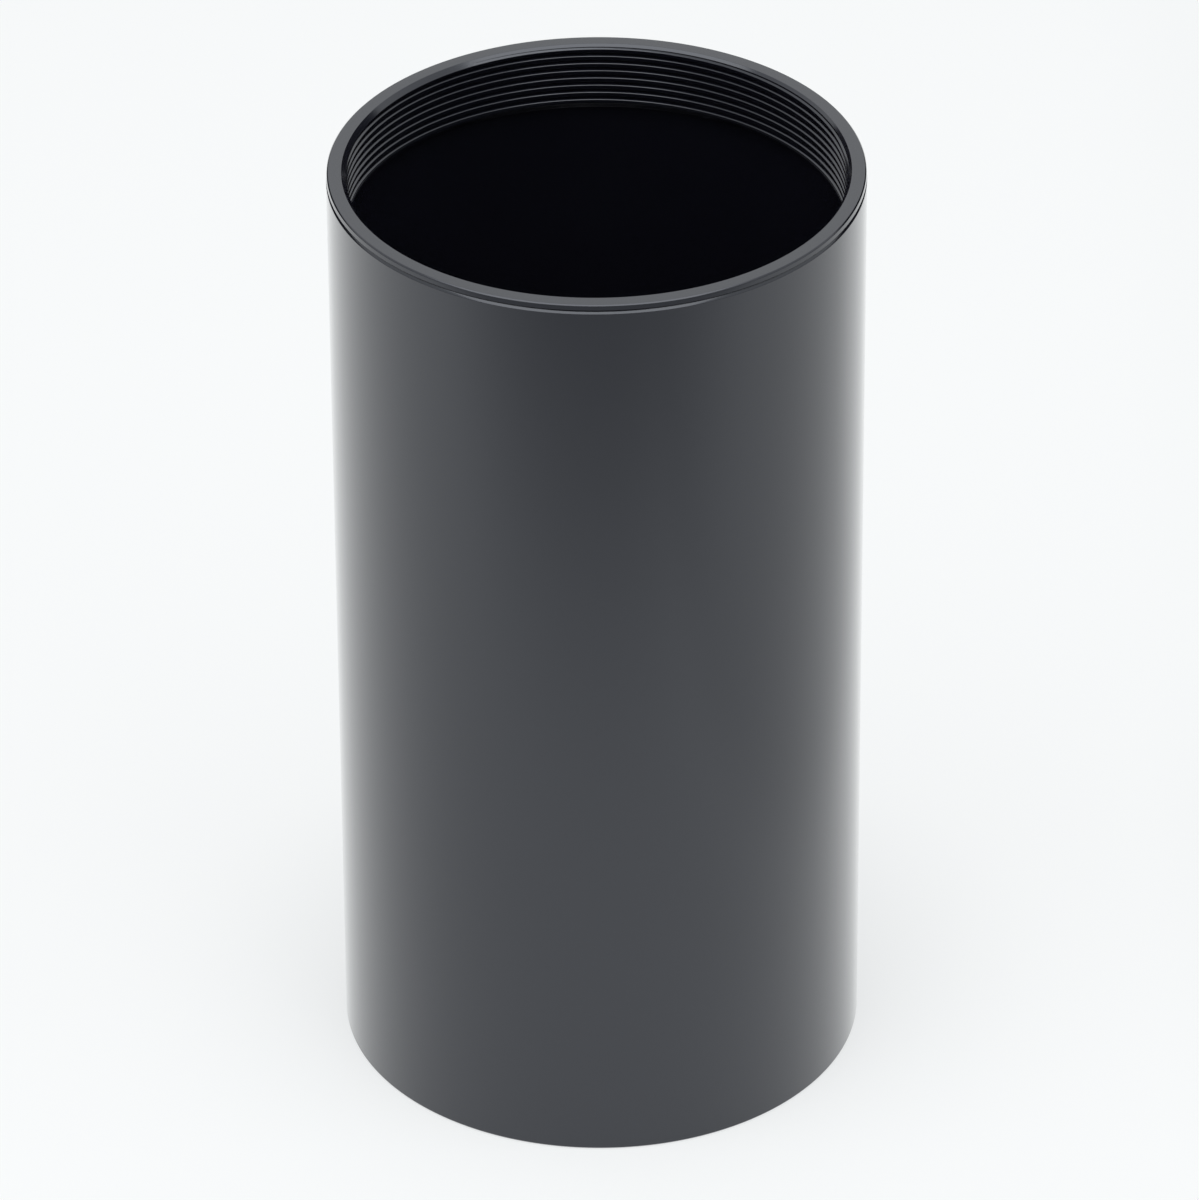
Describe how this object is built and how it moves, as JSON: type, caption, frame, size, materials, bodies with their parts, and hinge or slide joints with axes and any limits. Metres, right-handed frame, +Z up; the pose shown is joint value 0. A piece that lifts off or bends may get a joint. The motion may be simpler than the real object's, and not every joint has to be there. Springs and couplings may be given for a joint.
{
  "type": "lens tube",
  "caption": "Open round tube that holds lenses in line, with a female thread in a land inside each end, a wider smooth bore between, and a fine V groove outside near the upper rim.",
  "frame": {"origin": "centre of the lower end face, on the tube's axis, where the tube stands", "axes": "+Z up the tube's axis towards the grooved rim; X and Y are across the tube, which is round"},
  "size_m": [0.08, 0.08, 0.15],
  "materials": {
    "anodised_aluminium": "fine turned surface under satin black anodising"
  },
  "bodies": {
    "root": {"tube": "anodised_aluminium"}
  },
  "joints": []
}
